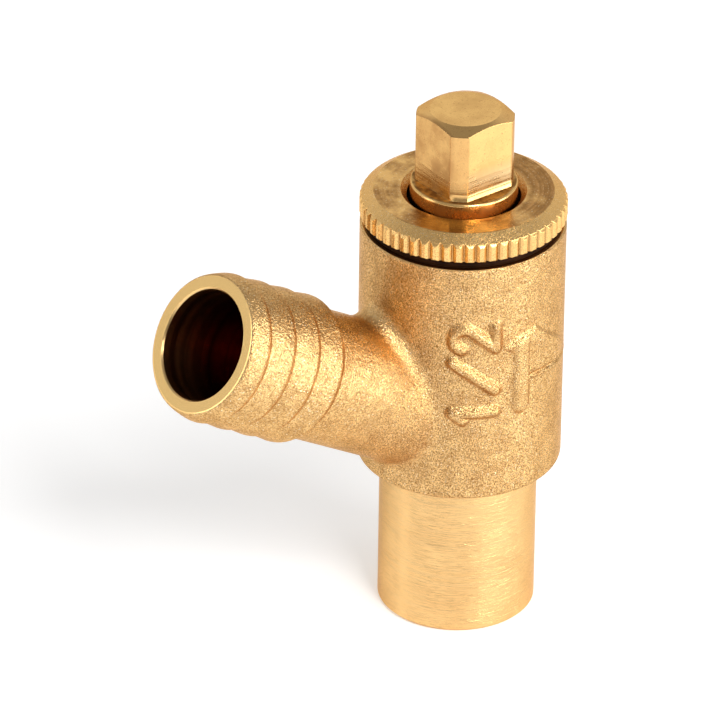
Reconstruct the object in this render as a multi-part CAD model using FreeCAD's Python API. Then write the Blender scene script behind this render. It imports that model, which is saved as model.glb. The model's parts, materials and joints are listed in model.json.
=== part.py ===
"""Drain cock for a 15 mm pipe system: cast body with a hose tail, gland nut and screw-down spindle.

Millimetres, +Z up along the spindle. The origin is the centre of the spigot's end face, and the
hose tail points along -X and upwards. The spindle is drawn screwed down, with its washer on the seat.
"""

import FreeCAD
import Part
import math
import os

# Spigot, the plain end that goes into a pipe fitting
SPIGOT_OD = 15.0
SPIGOT_LENGTH = 16.1
SPIGOT_BORE = 11.0
SPIGOT_BORE_DEPTH = 14.0
SPIGOT_CHAMFER = 0.3
DRILL_POINT_ANGLE = 118.0

# Cast barrel of the body
BARREL_OD = 19.4
BARREL_HEIGHT = 24.85
BARREL_FOOT_ROUND = 0.4
BARREL_TOP_CHAMFER = 0.15
BARREL_MOUTH_WALL = 1.6

# Valve seat and the chamber above it
ORIFICE_BORE = 7.0
SEAT_RISE = 1.9
SEAT_LIP_WIDTH = 0.6
SEAT_LIP_HEIGHT = 0.8
SEAT_LIP_FLARE = 0.5
CHAMBER_BORE = 11.4

# Hose tail
TAIL_TILT = 30.4
TAIL_FOOT_RISE = 3.7
TAIL_LENGTH = 34.35
TAIL_NECK_OD = 12.5
TAIL_BORE = 10.5
TAIL_BORE_DEPTH = 19.5
TAIL_PORT_BORE = 6.6
TAIL_RIM_OD = 13.2
TAIL_MOUTH_CHAMFER = 0.15
TAIL_RIM_ROUND = 0.35
TAIL_BLEND_RADIUS = 1.5
RIB_COUNT = 4
RIB_PITCH = 3.2
RIB_CREST_OD = 14.2
RIB_GROOVE_OD = 13.5
RIB_BACK_RUN = 0.65
RIB_NECK_RUN = 1.1
RIB_BULGE = 0.05
RIB_CREST_ROUND = 0.4
FIRST_RIB_FROM_MOUTH = 1.75

# Gland nut: knurled flange, and a threaded plug that goes down into the body
SEAL_THICKNESS = 0.85
SEAL_SETBACK = 0.45
FLANGE_OVERHANG = 0.05
KNURL_HEIGHT = 1.55
KNURL_TEETH = 55
KNURL_DEPTH = 0.32
KNURL_TIP_WIDTH = 0.2
KNURL_TIP_HEIGHT = 0.25
KNURL_ANGLE = 100.0
KNURL_TURN = 5.2
FLANGE_BEVEL_HEIGHT = 0.7
FLANGE_BEVEL_WIDTH = 1.3
FLANGE_EDGE = 0.12
PLUG_LENGTH = 5.55
PLUG_CHAMFER = 0.5
GLAND_MOUTH_BORE = 10.7
GLAND_MOUTH_DEPTH = 2.4
GLAND_MOUTH_CHAMFER = 0.6

# Stem seal, an O-ring in a groove of the gland nut
O_RING_SECTION = 1.5
O_RING_ABOVE_PLUG_END = 2.8
O_RING_GROOVE_WIDTH = 1.9

# Spindle
LIFT = 4.0
STEM_OD = 10.15
STEM_EDGE_ROUND = 0.3
COLLAR_ABOVE_FLANGE = 1.05
HEAD_HEIGHT = 7.4
HEAD_SQUARE = 7.6
HEAD_CORNER_OD = 9.2
HEAD_FACE_OD = 6.7
HEAD_CONE_SLOPE = 24.0
HEAD_TURN = 2.15
SPINDLE_THREAD_OD = 13.0
SPINDLE_THREAD_LENGTH = 4.4
SPINDLE_THREAD_CHAMFER = 0.6
THREAD_RELIEF_OD = 9.7
THREAD_RELIEF_WIDTH = 0.8
NOSE_OD = 9.5
NOSE_CHAMFER = 0.4
NOSE_LIP_THICKNESS = 1.5

# Jumper, the swivelling plate that carries the washer, with its nut
JUMPER_PLATE_OD = 10.2
JUMPER_PLATE_THICKNESS = 1.8
JUMPER_PLATE_CHAMFER = 0.3
JUMPER_NECK_OD = 3.8
JUMPER_HEAD_OD = 5.0
JUMPER_HEAD_HEIGHT = 2.5
JUMPER_STUD_OD = 3.0
JUMPER_STUD_END = 0.4
WASHER_OD = 10.0
WASHER_THICKNESS = 3.0
WASHER_ROUND = 0.3
NUT_ACROSS_FLATS = 5.5
NUT_THICKNESS = 2.4
NUT_CHAMFER_ANGLE = 30.0

# Clearances, each on the radius or along the axis
STEM_CLEARANCE = 0.08
THREAD_CLEARANCE = 0.1
SWIVEL_CLEARANCE = 0.15
SWIVEL_END_GAP = 0.05
POCKET_END_GAP = 0.3
STUD_CLEARANCE = 0.05
O_RING_STEM_GAP = 0.05
O_RING_GROOVE_GAP = 0.05
SEAL_THREAD_GAP = 0.2
STOP_GAP = 0.05
THREAD_RUN_OUT = 0.3
CUT_PAST = 1.0

# Diameters that follow the barrel
PLUG_THREAD_OD = BARREL_OD - 2 * (BARREL_MOUTH_WALL + THREAD_CLEARANCE)
SEAL_OD = BARREL_OD - 2 * SEAL_SETBACK
FLANGE_OD = BARREL_OD + 2 * FLANGE_OVERHANG
FLANGE_FACE_OD = FLANGE_OD - 2 * FLANGE_BEVEL_WIDTH

# Heights above the spigot's end
STEP_Z = SPIGOT_LENGTH
BARREL_TOP_Z = STEP_Z + BARREL_HEIGHT
FLANGE_BOTTOM_Z = BARREL_TOP_Z + SEAL_THICKNESS
BEVEL_Z = FLANGE_BOTTOM_Z + KNURL_HEIGHT
FLANGE_TOP_Z = BEVEL_Z + KNURL_TIP_HEIGHT + FLANGE_BEVEL_HEIGHT
PLUG_END_Z = FLANGE_BOTTOM_Z - PLUG_LENGTH
SEAT_Z = STEP_Z + SEAT_RISE
CHAMBER_FLOOR_Z = SEAT_Z - SEAT_LIP_HEIGHT
WASHER_TOP_Z = SEAT_Z + WASHER_THICKNESS
PLATE_TOP_Z = WASHER_TOP_Z + JUMPER_PLATE_THICKNESS
NOSE_END_Z = PLATE_TOP_Z + SWIVEL_END_GAP
POCKET_FLOOR_Z = NOSE_END_Z + NOSE_LIP_THICKNESS
JUMPER_HEAD_Z = POCKET_FLOOR_Z + SWIVEL_END_GAP
JUMPER_TOP_Z = JUMPER_HEAD_Z + JUMPER_HEAD_HEIGHT
POCKET_TOP_Z = JUMPER_TOP_Z + POCKET_END_GAP
THREAD_TOP_Z = PLUG_END_Z - STOP_GAP - LIFT
THREAD_END_Z = THREAD_TOP_Z - SPINDLE_THREAD_LENGTH
CHAMBER_TOP_Z = THREAD_END_Z - THREAD_RUN_OUT
GLAND_SEAT_Z = PLUG_END_Z - THREAD_RUN_OUT
COLLAR_TOP_Z = FLANGE_TOP_Z + COLLAR_ABOVE_FLANGE
HEAD_TOP_Z = COLLAR_TOP_Z + HEAD_HEIGHT
NUT_BOTTOM_Z = SEAT_Z - NUT_THICKNESS
STUD_END_Z = NUT_BOTTOM_Z - JUMPER_STUD_END
O_RING_Z = PLUG_END_Z + O_RING_ABOVE_PLUG_END

ORIGIN = FreeCAD.Vector(0, 0, 0)
Z_AXIS = FreeCAD.Vector(0, 0, 1)
Y_AXIS = FreeCAD.Vector(0, 1, 0)


def section_point(point):
    """A (radius, height) pair as a point of the XZ plane."""
    return FreeCAD.Vector(point[0], 0, point[1])


def turned(start, *moves):
    """Solid of revolution about Z. A move is an end point, or a (through, end) pair for an arc."""
    edges = []
    here = section_point(start)
    for move in moves:
        if isinstance(move[0], tuple):
            through, end = (section_point(p) for p in move)
            edges.append(Part.Arc(here, through, end).toShape())
        else:
            end = section_point(move)
            edges.append(Part.LineSegment(here, end).toShape())
        here = end
    edges.append(Part.LineSegment(here, section_point(start)).toShape())
    return Part.Face(Part.Wire(edges)).revolve(ORIGIN, Z_AXIS, 360)


def round_corner(centre, radius, angle_deg):
    """Point on a circle of the section, at an angle from the outward radius."""
    angle = math.radians(angle_deg)
    return (centre[0] + radius * math.cos(angle), centre[1] + radius * math.sin(angle))


def polygon_prism(points, bottom, height):
    """Upright prism on a closed outline of (x, y) points."""
    corners = [FreeCAD.Vector(x, y, bottom) for x, y in points]
    outline = Part.makePolygon(corners + corners[:1])
    return Part.Face(outline).extrude(Z_AXIS * height)


def regular_prism(sides, across_flats, bottom, height):
    """Upright prism with a flat facing -Y."""
    corner = across_flats / 2 / math.cos(math.pi / sides)
    angles = [math.pi * (2 * i + 1) / sides - math.pi / 2 for i in range(sides)]
    return polygon_prism([(corner * math.cos(a), corner * math.sin(a)) for a in angles], bottom, height)


def on_tail_axis(shape):
    """Turns a shape drawn along +Z to lie along the hose tail, from the tail's foot on the spindle axis."""
    shape = shape.copy()
    shape.rotate(ORIGIN, Y_AXIS, TAIL_TILT - 90)
    shape.translate(Z_AXIS * (STEP_Z + TAIL_FOOT_RISE))
    return shape


def tail_entry():
    """Station on the tail axis where the port's lower side comes through the chamber wall."""
    tilt = math.radians(TAIL_TILT)
    return (CHAMBER_BORE / 2 - TAIL_PORT_BORE / 2 * math.sin(tilt)) / math.cos(tilt)


def drill_point(from_radius, to_radius):
    """Length of the cone that a drill leaves between two radii."""
    return (from_radius - to_radius) / math.tan(math.radians(DRILL_POINT_ANGLE / 2))


def barrel():
    """Spigot and barrel, turned as one blank without bores."""
    spigot, radius = SPIGOT_OD / 2, BARREL_OD / 2
    foot = (radius - BARREL_FOOT_ROUND, STEP_Z + BARREL_FOOT_ROUND)
    return turned(
        (0, 0),
        (spigot - SPIGOT_CHAMFER, 0),
        (spigot, SPIGOT_CHAMFER),
        (spigot, STEP_Z),
        (foot[0], STEP_Z),
        (round_corner(foot, BARREL_FOOT_ROUND, -45), (radius, foot[1])),
        (radius, BARREL_TOP_Z - BARREL_TOP_CHAMFER),
        (radius - BARREL_TOP_CHAMFER, BARREL_TOP_Z),
        (0, BARREL_TOP_Z),
    )


def rib_moves():
    """Section of the ribs from the neck to the rim: each has a short back slope and a taper to the mouth."""
    crest, groove, rim = RIB_CREST_OD / 2, RIB_GROOVE_OD / 2, TAIL_RIM_OD / 2
    crests = [TAIL_LENGTH - FIRST_RIB_FROM_MOUTH - RIB_PITCH * i for i in reversed(range(RIB_COUNT))]
    moves = [(TAIL_NECK_OD / 2, crests[0] - RIB_NECK_RUN)]
    for station in crests:
        end = (groove, station + RIB_PITCH - RIB_BACK_RUN)
        if station == crests[-1]:
            end = (rim, TAIL_LENGTH)
        middle = ((crest + end[0]) / 2 + RIB_BULGE, (station + end[1]) / 2)
        moves += [(crest, station), (middle, end)]
    return moves


def circle_edges(shape, radius):
    """Round edges of that radius."""
    return [e for e in shape.Edges if isinstance(e.Curve, Part.Circle) and abs(e.Curve.Radius - radius) < 1e-6]


def tail():
    """Hose tail as a solid blank with rounded ribs, from inside the barrel to the mouth."""
    start = tail_entry()
    blank = turned((0, start), (TAIL_NECK_OD / 2, start), *rib_moves(), (0, TAIL_LENGTH))
    blank = blank.makeFillet(RIB_CREST_ROUND, circle_edges(blank, RIB_CREST_OD / 2))
    return on_tail_axis(blank.makeFillet(TAIL_RIM_ROUND, circle_edges(blank, TAIL_RIM_OD / 2)))


def waterway():
    """Everything that is bored from the spigot's end and from the top: inlet, seat, chamber and threads."""
    inlet, orifice = SPIGOT_BORE / 2, ORIFICE_BORE / 2
    lip = orifice + SEAT_LIP_WIDTH
    top = BARREL_TOP_Z + CUT_PAST
    thread = SPINDLE_THREAD_OD / 2 + THREAD_CLEARANCE
    mouth = PLUG_THREAD_OD / 2 + THREAD_CLEARANCE
    return turned(
        (0, -CUT_PAST),
        (inlet, -CUT_PAST),
        (inlet, SPIGOT_BORE_DEPTH),
        (orifice, SPIGOT_BORE_DEPTH + drill_point(inlet, orifice)),
        (orifice, SEAT_Z),
        (lip, SEAT_Z),
        (lip + SEAT_LIP_FLARE, CHAMBER_FLOOR_Z),
        (CHAMBER_BORE / 2, CHAMBER_FLOOR_Z),
        (CHAMBER_BORE / 2, CHAMBER_TOP_Z),
        (thread, CHAMBER_TOP_Z),
        (thread, GLAND_SEAT_Z),
        (mouth, GLAND_SEAT_Z),
        (mouth, top),
        (0, top),
    )


def tail_waterway():
    """Bore of the hose tail, narrowing to a port into the chamber."""
    bore, port, start = TAIL_BORE / 2, TAIL_PORT_BORE / 2, tail_entry() - CUT_PAST
    bore_end = TAIL_LENGTH - TAIL_BORE_DEPTH
    flare = bore + TAIL_MOUTH_CHAMFER
    past = TAIL_LENGTH + CUT_PAST
    cut = turned(
        (0, start),
        (port, start),
        (port, bore_end - drill_point(bore, port)),
        (bore, bore_end),
        (bore, TAIL_LENGTH - TAIL_MOUTH_CHAMFER),
        (flare, TAIL_LENGTH),
        (flare, past),
        (0, past),
    )
    return on_tail_axis(cut)


def is_round_about(face, radius, axis):
    """True for a cylinder face of that radius about a direction."""
    surface = face.Surface
    return (
        isinstance(surface, Part.Cylinder)
        and abs(surface.Radius - radius) < 1e-6
        and surface.Axis.cross(axis).Length < 1e-6
    )


def tail_joint_edges(blank):
    """Edges where the neck of the tail leaves the barrel."""
    tail_axis = on_tail_axis(Part.makeLine(ORIGIN, Z_AXIS))
    direction = tail_axis.Vertexes[-1].Point - tail_axis.Vertexes[0].Point
    barrel_edges = []
    neck_edges = []
    for face in blank.Faces:
        if is_round_about(face, BARREL_OD / 2, Z_AXIS):
            barrel_edges += face.Edges
        if is_round_about(face, TAIL_NECK_OD / 2, direction):
            neck_edges += face.Edges
    return [edge for edge in barrel_edges if any(edge.isSame(other) for other in neck_edges)]


def body():
    """The cast body: spigot, barrel and hose tail in one piece, blended together and then bored."""
    blank = barrel().fuse(tail()).removeSplitter()
    blank = blank.makeFillet(TAIL_BLEND_RADIUS, tail_joint_edges(blank))
    return blank.cut([waterway(), tail_waterway()])


def knurl_notches():
    """V-notches round the flange of the gland nut."""
    radius = FLANGE_OD / 2
    root = radius - KNURL_DEPTH
    half_angle = math.radians(KNURL_ANGLE / 2)
    outside = radius + CUT_PAST
    half_width = (outside - root) * math.tan(half_angle)
    notch = polygon_prism(
        [(root, 0), (outside, -half_width), (outside, half_width)],
        FLANGE_BOTTOM_Z - CUT_PAST,
        FLANGE_TOP_Z - FLANGE_BOTTOM_Z + 2 * CUT_PAST,
    )
    notches = []
    for i in range(KNURL_TEETH):
        cutter = notch.copy()
        cutter.rotate(ORIGIN, Z_AXIS, KNURL_TURN + 360 * i / KNURL_TEETH)
        notches.append(cutter)
    return notches


def gland_nut():
    """Knurled flange with a threaded plug, bored for the stem, with a groove for the stem seal."""
    flange, face = FLANGE_OD / 2, FLANGE_FACE_OD / 2
    plug = PLUG_THREAD_OD / 2
    mouth = GLAND_MOUTH_BORE / 2
    bore = STEM_OD / 2 + STEM_CLEARANCE
    groove = STEM_OD / 2 + O_RING_STEM_GAP + O_RING_SECTION + O_RING_GROOVE_GAP
    groove_bottom = O_RING_Z - O_RING_GROOVE_WIDTH / 2
    mouth_floor = FLANGE_TOP_Z - GLAND_MOUTH_DEPTH
    blank = turned(
        (bore, PLUG_END_Z),
        (plug - PLUG_CHAMFER, PLUG_END_Z),
        (plug, PLUG_END_Z + PLUG_CHAMFER),
        (plug, FLANGE_BOTTOM_Z),
        (flange - FLANGE_EDGE, FLANGE_BOTTOM_Z),
        (flange, FLANGE_BOTTOM_Z + FLANGE_EDGE),
        (flange, BEVEL_Z),
        (flange - KNURL_TIP_WIDTH, BEVEL_Z + KNURL_TIP_HEIGHT),
        (face, FLANGE_TOP_Z),
        (mouth + GLAND_MOUTH_CHAMFER, FLANGE_TOP_Z),
        (mouth, FLANGE_TOP_Z - GLAND_MOUTH_CHAMFER),
        (mouth, mouth_floor),
        (bore, mouth_floor - drill_point(mouth, bore)),
        (bore, groove_bottom + O_RING_GROOVE_WIDTH),
        (groove, groove_bottom + O_RING_GROOVE_WIDTH),
        (groove, groove_bottom),
        (bore, groove_bottom),
    )
    return blank.cut(knurl_notches())


def gland_seal():
    """Flat rubber ring between the flange of the gland nut and the top of the barrel."""
    inner, outer = PLUG_THREAD_OD / 2 + SEAL_THREAD_GAP, SEAL_OD / 2
    edge = SEAL_THICKNESS / 4
    middle = (BARREL_TOP_Z + FLANGE_BOTTOM_Z) / 2
    return turned(
        (inner, BARREL_TOP_Z),
        (outer - edge, BARREL_TOP_Z),
        ((outer, middle), (outer - edge, FLANGE_BOTTOM_Z)),
        (inner, FLANGE_BOTTOM_Z),
    )


def stem_seal():
    """O-ring round the stem, in the groove of the gland nut."""
    section = O_RING_SECTION / 2
    ring = STEM_OD / 2 + O_RING_STEM_GAP + section
    return Part.makeTorus(ring, section, Z_AXIS * O_RING_Z, Z_AXIS)


def spindle_head():
    """Square end for the key: a round bar with a cone at the top, milled to four flats."""
    corner, face = HEAD_CORNER_OD / 2, HEAD_FACE_OD / 2
    cone_drop = (corner - face) * math.tan(math.radians(HEAD_CONE_SLOPE))
    bar = turned(
        (0, COLLAR_TOP_Z),
        (corner, COLLAR_TOP_Z),
        (corner, HEAD_TOP_Z - cone_drop),
        (face, HEAD_TOP_Z),
        (0, HEAD_TOP_Z),
    )
    square = regular_prism(4, HEAD_SQUARE, COLLAR_TOP_Z, HEAD_HEIGHT)
    square.rotate(ORIGIN, Z_AXIS, HEAD_TURN)
    return bar.common(square)


def spindle():
    """Spindle: square head, stem, threaded length and a nose that holds the jumper's head in a pocket."""
    stem, thread, relief, nose = STEM_OD / 2, SPINDLE_THREAD_OD / 2, THREAD_RELIEF_OD / 2, NOSE_OD / 2
    lip = JUMPER_NECK_OD / 2 + SWIVEL_CLEARANCE
    pocket = JUMPER_HEAD_OD / 2 + SWIVEL_CLEARANCE
    collar = (stem - STEM_EDGE_ROUND, COLLAR_TOP_Z - STEM_EDGE_ROUND)
    stem_blank = turned(
        (lip, NOSE_END_Z),
        (nose - NOSE_CHAMFER, NOSE_END_Z),
        (nose, NOSE_END_Z + NOSE_CHAMFER),
        (nose, THREAD_END_Z),
        (thread - SPINDLE_THREAD_CHAMFER, THREAD_END_Z),
        (thread, THREAD_END_Z + SPINDLE_THREAD_CHAMFER),
        (thread, THREAD_TOP_Z - SPINDLE_THREAD_CHAMFER),
        (thread - SPINDLE_THREAD_CHAMFER, THREAD_TOP_Z),
        (relief, THREAD_TOP_Z),
        (relief, THREAD_TOP_Z + THREAD_RELIEF_WIDTH),
        (stem, THREAD_TOP_Z + THREAD_RELIEF_WIDTH),
        (stem, collar[1]),
        (round_corner(collar, STEM_EDGE_ROUND, 45), (collar[0], COLLAR_TOP_Z)),
        (0, COLLAR_TOP_Z),
        (0, POCKET_TOP_Z + drill_point(pocket, 0)),
        (pocket, POCKET_TOP_Z),
        (pocket, POCKET_FLOOR_Z),
        (lip, POCKET_FLOOR_Z),
    )
    return stem_blank.fuse(spindle_head()).removeSplitter()


def jumper():
    """Plate that the spindle presses on, with a captive head above it and a stud for the washer below."""
    plate, neck = JUMPER_PLATE_OD / 2, JUMPER_NECK_OD / 2
    head, stud = JUMPER_HEAD_OD / 2, JUMPER_STUD_OD / 2
    return turned(
        (0, STUD_END_Z),
        (stud, STUD_END_Z),
        (stud, WASHER_TOP_Z),
        (plate, WASHER_TOP_Z),
        (plate, PLATE_TOP_Z - JUMPER_PLATE_CHAMFER),
        (plate - JUMPER_PLATE_CHAMFER, PLATE_TOP_Z),
        (neck, PLATE_TOP_Z),
        (neck, JUMPER_HEAD_Z),
        (head, JUMPER_HEAD_Z),
        (head, JUMPER_TOP_Z),
        (0, JUMPER_TOP_Z),
    )


def seat_washer():
    """Rubber washer that closes on the seat."""
    hole, outer = JUMPER_STUD_OD / 2 + STUD_CLEARANCE, WASHER_OD / 2
    corner = (outer - WASHER_ROUND, SEAT_Z + WASHER_ROUND)
    return turned(
        (hole, SEAT_Z),
        (corner[0], SEAT_Z),
        (round_corner(corner, WASHER_ROUND, -45), (outer, corner[1])),
        (outer, WASHER_TOP_Z),
        (hole, WASHER_TOP_Z),
    )


def washer_nut():
    """Small hexagon nut that holds the washer on the jumper's stud."""
    corner = NUT_ACROSS_FLATS / math.sqrt(3)
    flat = NUT_ACROSS_FLATS / 2
    hole = JUMPER_STUD_OD / 2 + STUD_CLEARANCE
    drop = (corner - flat) * math.tan(math.radians(NUT_CHAMFER_ANGLE))
    blank = turned(
        (hole, NUT_BOTTOM_Z),
        (flat, NUT_BOTTOM_Z),
        (corner, NUT_BOTTOM_Z + drop),
        (corner, SEAT_Z),
        (hole, SEAT_Z),
    )
    return blank.common(regular_prism(6, NUT_ACROSS_FLATS, NUT_BOTTOM_Z, NUT_THICKNESS))


PIECES = {
    "body": body,
    "gland_nut": gland_nut,
    "gland_seal": gland_seal,
    "stem_seal": stem_seal,
    "spindle": spindle,
    "jumper": jumper,
    "seat_washer": seat_washer,
    "washer_nut": washer_nut,
}


def main():
    os.makedirs("parts", exist_ok=True)
    for name, make in PIECES.items():
        shape = make()
        print(name, "solids", len(shape.Solids), "valid", shape.isValid(), "volume", round(shape.Volume, 2))
        shape.exportStep(f"parts/{name}.step")


main()
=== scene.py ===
"""Looks of a brass drain cock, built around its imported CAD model.

Metres, in the CAD frame: +Z up the spindle, the hose tail along -X and upwards.
"""

import functools
import json
import math

import bmesh
import bpy
from bpy.props import FloatProperty, FloatVectorProperty, PointerProperty
from mathutils import Matrix, Vector


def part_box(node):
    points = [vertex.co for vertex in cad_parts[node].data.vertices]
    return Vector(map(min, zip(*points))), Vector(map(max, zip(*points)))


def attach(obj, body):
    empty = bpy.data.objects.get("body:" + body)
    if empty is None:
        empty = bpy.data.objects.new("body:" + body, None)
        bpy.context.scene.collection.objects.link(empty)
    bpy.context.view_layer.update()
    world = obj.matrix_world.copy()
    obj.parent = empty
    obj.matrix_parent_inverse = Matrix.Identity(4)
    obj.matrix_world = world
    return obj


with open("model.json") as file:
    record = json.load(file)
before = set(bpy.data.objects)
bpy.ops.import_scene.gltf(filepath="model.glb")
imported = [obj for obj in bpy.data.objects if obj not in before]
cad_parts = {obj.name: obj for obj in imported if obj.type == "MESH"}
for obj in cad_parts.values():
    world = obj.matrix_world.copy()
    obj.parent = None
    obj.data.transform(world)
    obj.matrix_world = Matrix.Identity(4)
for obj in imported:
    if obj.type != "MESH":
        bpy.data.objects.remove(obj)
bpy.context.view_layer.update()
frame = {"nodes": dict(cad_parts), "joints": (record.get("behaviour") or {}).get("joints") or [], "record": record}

bl_info = {
    "name": "Drain Cock",
    "version": (1, 0, 0),
    "blender": (4, 5, 0),
    "location": "3D View > Sidebar > Drain Cock",
    "description": "Finishes, cast marks and stage for a brass drain cock",
    "category": "Object",
}

MM = 0.001


def named(entries, name):
    """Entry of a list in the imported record."""
    return next(entry for entry in entries if entry["name"] == name)


def mount(name):
    """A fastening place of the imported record."""
    return named(frame["record"]["mounts"], name)


def corners(node):
    """Vertices of a CAD node."""
    return [v.co for v in frame["nodes"][node].data.vertices]


def tail_foot():
    """Point where the hose tail's axis crosses the spindle's axis."""
    mouth = Vector(mount("outlet_bore")["pos_m"])
    return mouth - TAIL_AXIS * (mouth.x / TAIL_AXIS.x)


# Sizes of the CAD model. A station is a distance along the hose tail from its foot.
TAIL_AXIS = Vector(mount("outlet_bore")["axis"])
TAIL_FOOT = tail_foot()
TAIL_LENGTH = max((p - TAIL_FOOT).dot(TAIL_AXIS) for p in corners("body"))
TAIL_BORE_RADIUS = mount("outlet_bore")["dims"]["r_mm"] * MM
TAIL_BORE_START = 5 * MM
RIBS_START, RIBS_FULL = 14 * MM, 18 * MM
SPIGOT_RADIUS = mount("inlet_spigot")["dims"]["r_mm"] * MM
BARREL_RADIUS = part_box("body")[1].x
BARREL_FOOT_Z = min(p.z for p in corners("body") if p.xy.length > SPIGOT_RADIUS + 0.5 * MM)
BARREL_TOP_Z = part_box("gland_seal")[0].z
FLANGE_TOP_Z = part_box("gland_nut")[1].z
FLANGE_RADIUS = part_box("gland_nut")[1].x
KNURL_DEPTH = 0.45 * MM
BEVEL_FOOT_Z = FLANGE_TOP_Z - 0.7 * MM
MOUTH_RADIUS = 5.35 * MM
MOUTH_TOP_Z = FLANGE_TOP_Z - 0.6 * MM
COLLAR_TOP_Z = named(frame["joints"], "spindle_turn")["pos_m"][2]

# Borders between two finishes on one piece, and of painted shade and painted light.
HAIR = 0.01 * MM
BLEND = 0.1 * MM
BORE_MARGIN = 0.16 * MM
# Inside the tail's bore the colour is painted shade, with painted light towards the mouth.
BORE_DARK_START, BORE_DARK_FULL = TAIL_LENGTH - 0.2 * MM, TAIL_LENGTH - 0.6 * MM
BORE_LIT_START, BORE_LIT_FULL = TAIL_LENGTH - 9 * MM, TAIL_LENGTH - 2 * MM
# The knurl's grooves are painted darker towards their roots, as shade.
GROOVE_START, GROOVE_FULL = FLANGE_RADIUS - 0.16 * MM, FLANGE_RADIUS - 0.30 * MM
BROWN_START, BROWN_FULL = 1 * MM, 7 * MM
RIB_GRAIN_RADIUS, BARREL_GRAIN_RADIUS = 7.6 * MM, 8.4 * MM
HEAD_CORNER_RADIUS = 4.5 * MM
HEAD_LEFT_START, HEAD_LEFT_FULL = -3.4 * MM, -3.7 * MM

# The spindle's finish and its painted shade and highlight, as heights above its collar and depths.
COLLAR_START, COLLAR_FULL = -0.2 * MM, -0.35 * MM
CORNER_FULL, LEFT_SHADE_FULL = 0.5 * MM, 1.5 * MM
STROKES_START, STROKES_FULL = 0.45 * MM, 0.6 * MM
STROKES_FADE, STROKES_END = 1.8 * MM, 3.2 * MM
STROKE_PITCH, STROKE_DEPTH, STROKE_BREAKS = 0.35 * MM, 0.05 * MM, 1.5 * MM
LEDGE_DIRT = 0.9 * MM
CONE_START, CONE_FULL = 3 * MM, 4 * MM
RUN_OUT_HEIGHT, RUN_OUT_DEPTH, RUN_OUT_CURVE = 0.8 * MM, 0.2 * MM, 1.6

# Roughness, at the two ends of the mask that changes it.
CAST_ROUGHNESS = (0.40, 0.24)
GLINT_ROUGHNESS = 0.16
CUT_ROUGHNESS = 0.24
BEVEL_ROUGHNESS = (0.36, 0.24)
FACE_ROUGHNESS = (0.08, 0.22)
NUT_EDGE_ROUGHNESS = 0.2
HEAD_ROUGHNESS = (0.2, 0.34)
LEDGE_ROUGHNESS = (0.3, 0.5)
HEAD_EDGE_ROUGHNESS = 0.16
INNER_ROUGHNESS = 0.3
RUBBER_ROUGHNESS = (0.48, 0.6)
RUBBER_SHINE = 0.06

# Grain of the other pieces, and the coarser grain of the ribs.
RIB_GRAIN, RIB_GRAIN_HEIGHT = 1.6, 1.8
NUT_GRAIN_DEPTH = 0.06 * MM
RUBBER_GRAIN, RUBBER_GRAIN_DEPTH = 0.12 * MM, 0.004 * MM

# Shifts that make noises of one size independent, and the stretch of the spigot's dashes.
FLECK_SHIFT = (0.013, 0.007, 0.021)
GLINT_SHIFT = (0.031, 0.017, 0.005)
DASH_STRETCH = (0.02, 0.02, 1.0)

# Size number, in shares of its pitch and of its numerals' height.
ONE = ((-0.9, 0.25), (-0.75, 0.5), (-0.75, -0.5))
BAR = ((-0.3, -0.5), (0.3, 0.5))
TWO_PLACE, TWO_LOOP, TWO_FOOT = 0.78, 0.27, 1.1
NUMBER_HALF_LENGTH = 1.2

# Flow arrow, up and to the left of its shaft's foot. Its left barb stops short of the size number.
ARROW_HEAD = [(up * MM, left * MM) for up, left in (
    (8.65, -1.65), (7.2, -3.3), (3.4, -8.9), (3.9, 0.0), (6.65, 0.9), (7.3, 1.8))]
ARROW_LINE = ((3.4 * MM, -0.9 * MM), (2.75 * MM, -9.0 * MM))
ARROW_LINE_HALF_WIDTH = 0.1 * MM
SHAFT_RIGHT_LENGTH, SHAFT_LEFT_LENGTH = 8.3 * MM, 7.65 * MM
ARROW_FADE_START, ARROW_FADE_END, ARROW_FADE = 5 * MM, 8 * MM, 0.85
HEAD_SHOULDER, LINE_RELIEF = 0.6, 1.3

# How a mark goes on into the barrel beyond its soft edge, and how far it is rooted there.
MARK_SINK = 0.3
MARK_ROOT = 0.3 * MM

# Stage: lamps as name, azimuth and elevation in degrees, distance, width and height.
LAMPS = (
    ("Key", -10, 44, 0.6, 0.20, 0.20),
    ("Right", 17, 16, 0.5, 0.14, 0.36),
    ("Low", 45, 9, 0.5, 0.22, 0.20),
    ("Left", -112, 16, 0.5, 0.14, 0.36),
)
LAMP_TARGET = Vector((0, 0, 25 * MM))
WALL_LIGHT, RIGHT_LIGHT, BACK_LIGHT, CEILING_LIGHT = 0.56, 0.16, 0.27, 0.34
CEILING_START, CEILING_FULL = 0.5, 0.95
FLOOR_REACH = 3.0
FLOOR_COLOUR = (0.9, 0.9, 0.9, 1)
PICTURE_SIZE = 720
SENSOR_WIDTH = 36.0


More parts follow.
